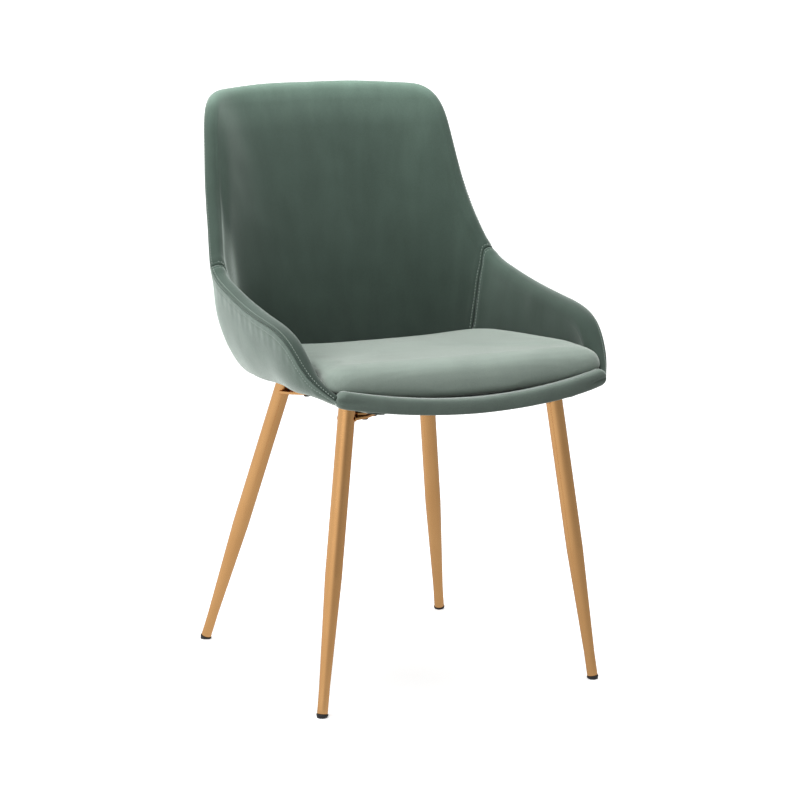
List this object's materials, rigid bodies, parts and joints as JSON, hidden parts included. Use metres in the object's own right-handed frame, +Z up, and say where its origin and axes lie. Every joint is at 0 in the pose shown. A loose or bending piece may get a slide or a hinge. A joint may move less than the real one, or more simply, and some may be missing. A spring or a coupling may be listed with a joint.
{
  "type": "dining chair",
  "caption": "Upholstered dining chair: a padded velvet bucket shell with low arms and a loose seat cushion, on splayed, tapered brass-coloured metal legs.",
  "frame": {"origin": "centre of the chair's bounding box in plan, on the floor", "axes": "+Z up, the chair faces -Y, +X is the chair's left-hand side as seated, to the right of a person who looks at its front"},
  "size_m": [0.5118, 0.6015, 0.8697],
  "materials": {
    "velvet": "short-pile sage green velvet with a strong edge sheen",
    "foam": "open-cell upholstery foam, matte",
    "plywood": "sanded and unfinished",
    "dust_cloth": "thin non-woven black cloth",
    "brass": "satin gold plating over steel",
    "black_plastic": "matte moulded plastic",
    "black_steel": "black oxide",
    "zinc_steel": "bright zinc plating"
  },
  "bodies": {
    "root": {"shell_core": "plywood", "outer_cover": "velvet", "back_foam": "foam", "inner_back_cover": "velvet", "arm_foam_right": "foam", "arm_cover_right": "velvet", "arm_foam_left": "foam", "arm_cover_left": "velvet", "front_band": "velvet", "seat_cushion_board": "plywood", "seat_cushion_foam": "foam", "seat_cushion_cover": "velvet", "seat_board": "plywood", "dust_cover": "dust_cloth", "leg_plate_front_right": "brass", "leg_spacer_front_right": "brass", "leg_front_right": "brass", "glide_front_right": "black_plastic", "leg_bolt_front_right_1": "black_steel", "t_nut_front_right_1": "zinc_steel", "leg_bolt_front_right_2": "black_steel", "t_nut_front_right_2": "zinc_steel", "leg_bolt_front_right_3": "black_steel", "t_nut_front_right_3": "zinc_steel", "leg_plate_front_left": "brass", "leg_spacer_front_left": "brass", "leg_front_left": "brass", "glide_front_left": "black_plastic", "leg_bolt_front_left_1": "black_steel", "t_nut_front_left_1": "zinc_steel", "leg_bolt_front_left_2": "black_steel", "t_nut_front_left_2": "zinc_steel", "leg_bolt_front_left_3": "black_steel", "t_nut_front_left_3": "zinc_steel", "leg_plate_rear_right": "brass", "leg_spacer_rear_right": "brass", "leg_rear_right": "brass", "glide_rear_right": "black_plastic", "leg_bolt_rear_right_1": "black_steel", "t_nut_rear_right_1": "zinc_steel", "leg_bolt_rear_right_2": "black_steel", "t_nut_rear_right_2": "zinc_steel", "leg_bolt_rear_right_3": "black_steel", "t_nut_rear_right_3": "zinc_steel", "leg_plate_rear_left": "brass", "leg_spacer_rear_left": "brass", "leg_rear_left": "brass", "glide_rear_left": "black_plastic", "leg_bolt_rear_left_1": "black_steel", "t_nut_rear_left_1": "zinc_steel", "leg_bolt_rear_left_2": "black_steel", "t_nut_rear_left_2": "zinc_steel", "leg_bolt_rear_left_3": "black_steel", "t_nut_rear_left_3": "zinc_steel"}
  },
  "joints": []
}
